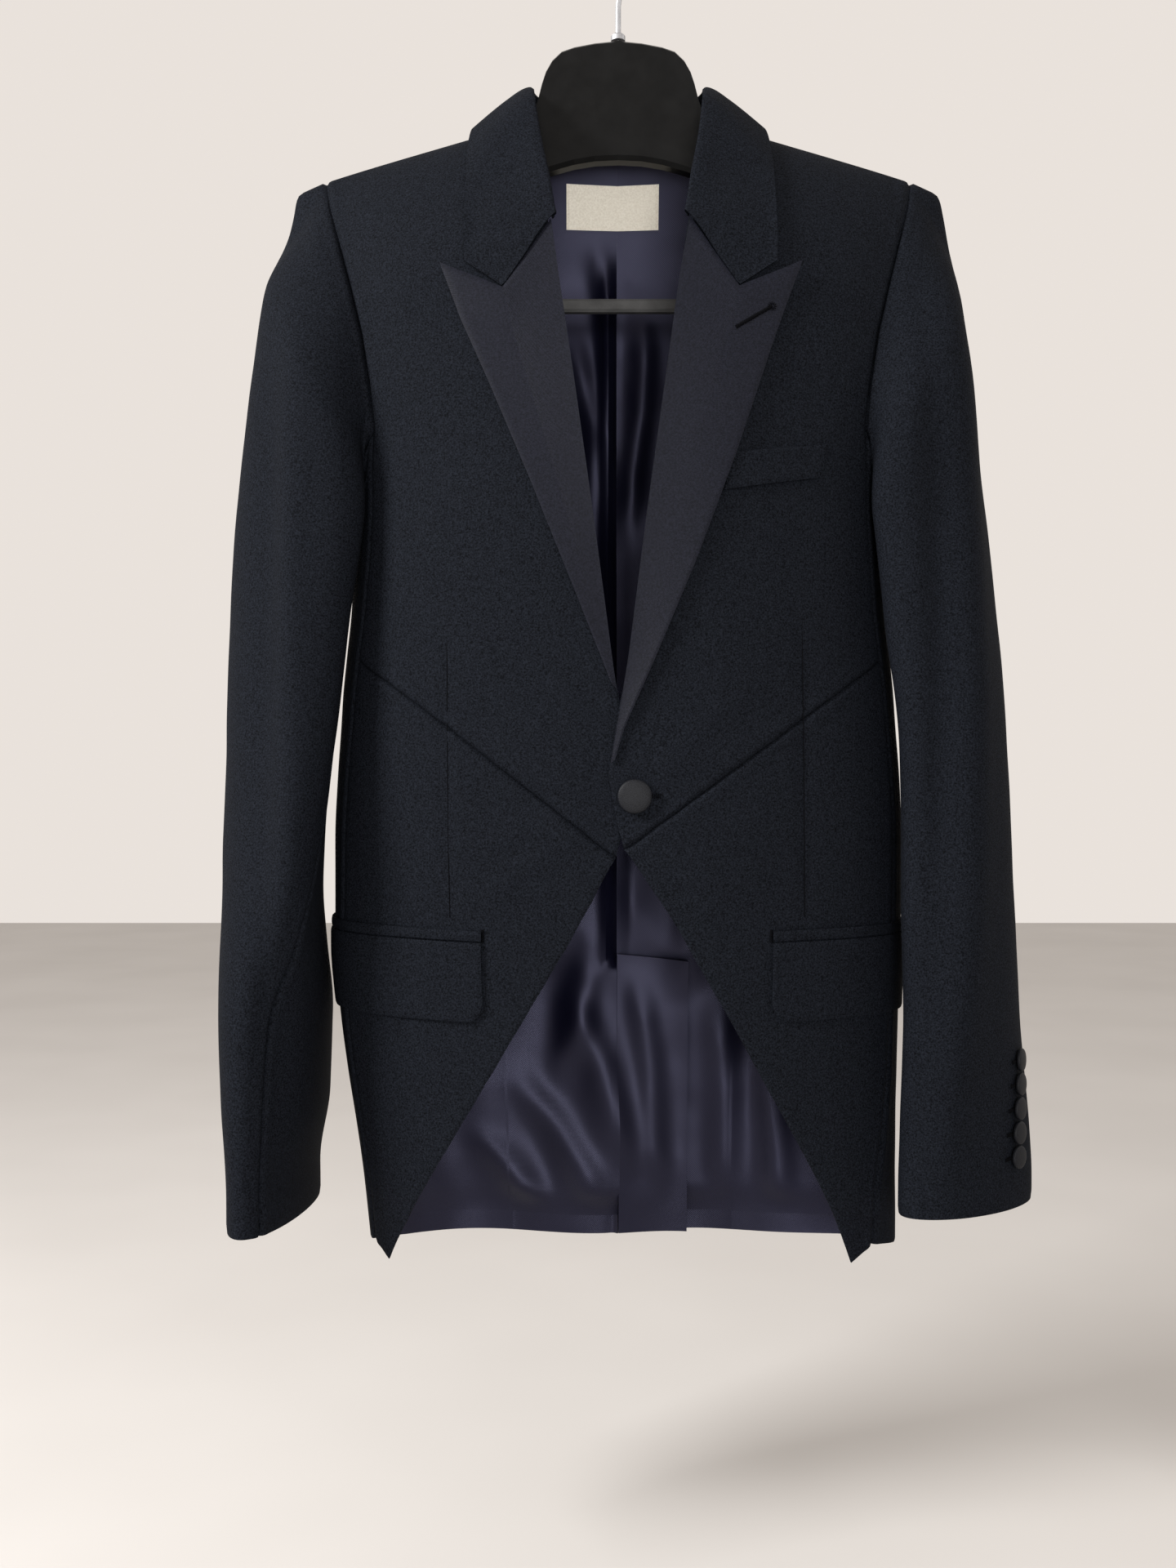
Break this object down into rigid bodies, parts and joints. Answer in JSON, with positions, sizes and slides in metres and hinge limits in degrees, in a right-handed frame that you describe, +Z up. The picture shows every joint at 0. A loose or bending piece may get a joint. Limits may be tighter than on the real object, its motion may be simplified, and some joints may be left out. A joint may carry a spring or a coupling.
{
  "type": "tailored blazer on hanger",
  "caption": "Slim single-button tailored blazer with peaked lapels and a cutaway front, lined, hanging on a moulded hanger with a trouser bar and a wire hook.",
  "frame": {"origin": "where the hook bears on its rail: the inner top of the hook's bend, in the hanger's middle plane", "axes": "+Z up, -Y the front of the blazer, +X the wearer's left, which is the viewer's right"},
  "size_m": [0.5134, 0.151, 0.8596],
  "materials": {
    "wool": "fine black wool crepe, matte",
    "grosgrain": "dull black silk facing with a fine rib",
    "lining": "blue-black satin twill lining with a soft sheen",
    "label": "plain cream woven label, bare",
    "button_cloth": "black cloth-covered buttons",
    "hanger_plastic": "matte black moulded plastic",
    "hook_wire": "bright plated steel wire"
  },
  "bodies": {
    "root": {"front_upper_left": "wool", "front_upper_right": "wool", "front_lower_left": "wool", "front_lower_right": "wool", "side_panel_left": "wool", "side_panel_right": "wool", "back_left": "wool", "back_right": "wool", "sleeve_upper_left": "wool", "sleeve_upper_right": "wool", "sleeve_under_left": "wool", "sleeve_under_right": "wool", "lapel_left": "grosgrain", "lapel_right": "grosgrain", "collar": "wool", "lining_left": "lining", "lining_right": "lining", "vent_underlap": "lining", "jet_left": "wool", "jet_right": "wool", "flap_left": "wool", "flap_right": "wool", "breast_welt": "wool", "label": "label", "front_button": "button_cloth", "cuff_button_left_1": "button_cloth", "cuff_button_left_2": "button_cloth", "cuff_button_left_3": "button_cloth", "cuff_button_left_4": "button_cloth", "cuff_button_left_5": "button_cloth", "cuff_button_right_1": "button_cloth", "cuff_button_right_2": "button_cloth", "cuff_button_right_3": "button_cloth", "cuff_button_right_4": "button_cloth", "cuff_button_right_5": "button_cloth", "hanger_body": "hanger_plastic", "hanger_bar": "hanger_plastic", "hook": "hook_wire", "hook_ferrule": "hook_wire"}
  },
  "joints": []
}
